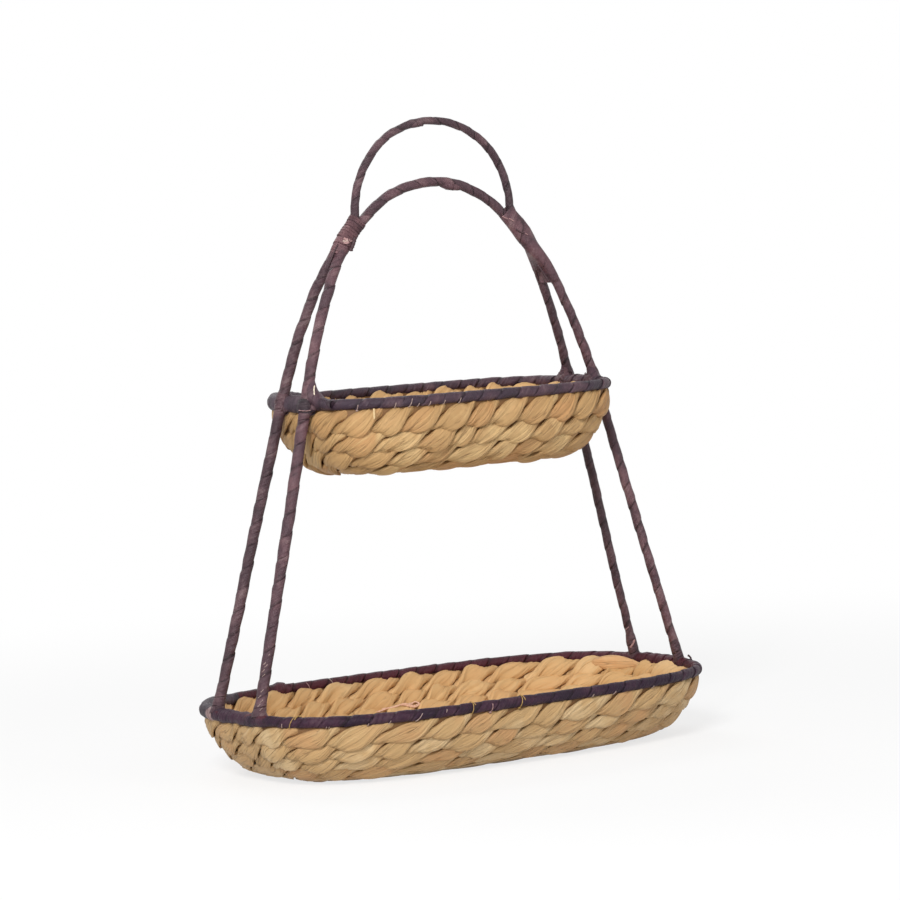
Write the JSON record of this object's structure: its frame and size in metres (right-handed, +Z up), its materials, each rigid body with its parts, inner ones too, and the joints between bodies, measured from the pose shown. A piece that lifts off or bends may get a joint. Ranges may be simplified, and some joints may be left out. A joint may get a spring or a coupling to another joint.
{
  "type": "two-tier basket stand",
  "caption": "Free-standing two-tier stand: a large and a small oval braided basket on a tape-wound wire frame with arch and fixed carrying handle.",
  "frame": {"origin": "on the floor, under the middle of the stand", "axes": "+Z up through the handle, X along the length of both baskets, +Y from the front to the rear"},
  "size_m": [0.4364, 0.2396, 0.5273],
  "materials": {
    "steel_wire": "satin",
    "dyed_leaf_tape": "satin",
    "lower_basket_braid": "matte",
    "upper_basket_braid": "matte"
  },
  "bodies": {
    "root": {"arch_hoop_wire": "steel_wire", "handle_hoop_wire": "steel_wire", "lower_rim_wire": "steel_wire", "upper_rim_wire": "steel_wire", "right_shoulder_binding": "dyed_leaf_tape", "right_front_foot_binding": "dyed_leaf_tape", "right_front_leg_tape": "dyed_leaf_tape", "right_front_crossing_binding": "dyed_leaf_tape", "right_front_arm_tape": "dyed_leaf_tape", "right_rear_foot_binding": "dyed_leaf_tape", "right_rear_leg_tape": "dyed_leaf_tape", "right_rear_crossing_binding": "dyed_leaf_tape", "right_rear_arm_tape": "dyed_leaf_tape", "left_shoulder_binding": "dyed_leaf_tape", "left_front_foot_binding": "dyed_leaf_tape", "left_front_leg_tape": "dyed_leaf_tape", "left_front_crossing_binding": "dyed_leaf_tape", "left_front_arm_tape": "dyed_leaf_tape", "left_rear_foot_binding": "dyed_leaf_tape", "left_rear_leg_tape": "dyed_leaf_tape", "left_rear_crossing_binding": "dyed_leaf_tape", "left_rear_arm_tape": "dyed_leaf_tape", "arch_tape": "dyed_leaf_tape", "handle_tape": "dyed_leaf_tape", "lower_rim_tape_rear": "dyed_leaf_tape", "lower_rim_tape_left": "dyed_leaf_tape", "lower_rim_tape_front": "dyed_leaf_tape", "lower_rim_tape_right": "dyed_leaf_tape", "upper_rim_tape_rear": "dyed_leaf_tape", "upper_rim_tape_left": "dyed_leaf_tape", "upper_rim_tape_front": "dyed_leaf_tape", "upper_rim_tape_right": "dyed_leaf_tape", "lower_basket_wall_row_1": "lower_basket_braid", "lower_basket_wall_row_2": "lower_basket_braid", "lower_basket_wall_row_3": "lower_basket_braid", "lower_basket_wall_row_4": "lower_basket_braid", "lower_basket_base_row_1": "lower_basket_braid", "lower_basket_base_row_2": "lower_basket_braid", "lower_basket_base_row_3": "lower_basket_braid", "lower_basket_base_core": "lower_basket_braid", "upper_basket_wall_row_1": "upper_basket_braid", "upper_basket_wall_row_2": "upper_basket_braid", "upper_basket_wall_row_3": "upper_basket_braid", "upper_basket_wall_row_4": "upper_basket_braid", "upper_basket_base_row_1": "upper_basket_braid", "upper_basket_base_core": "upper_basket_braid"}
  },
  "joints": []
}
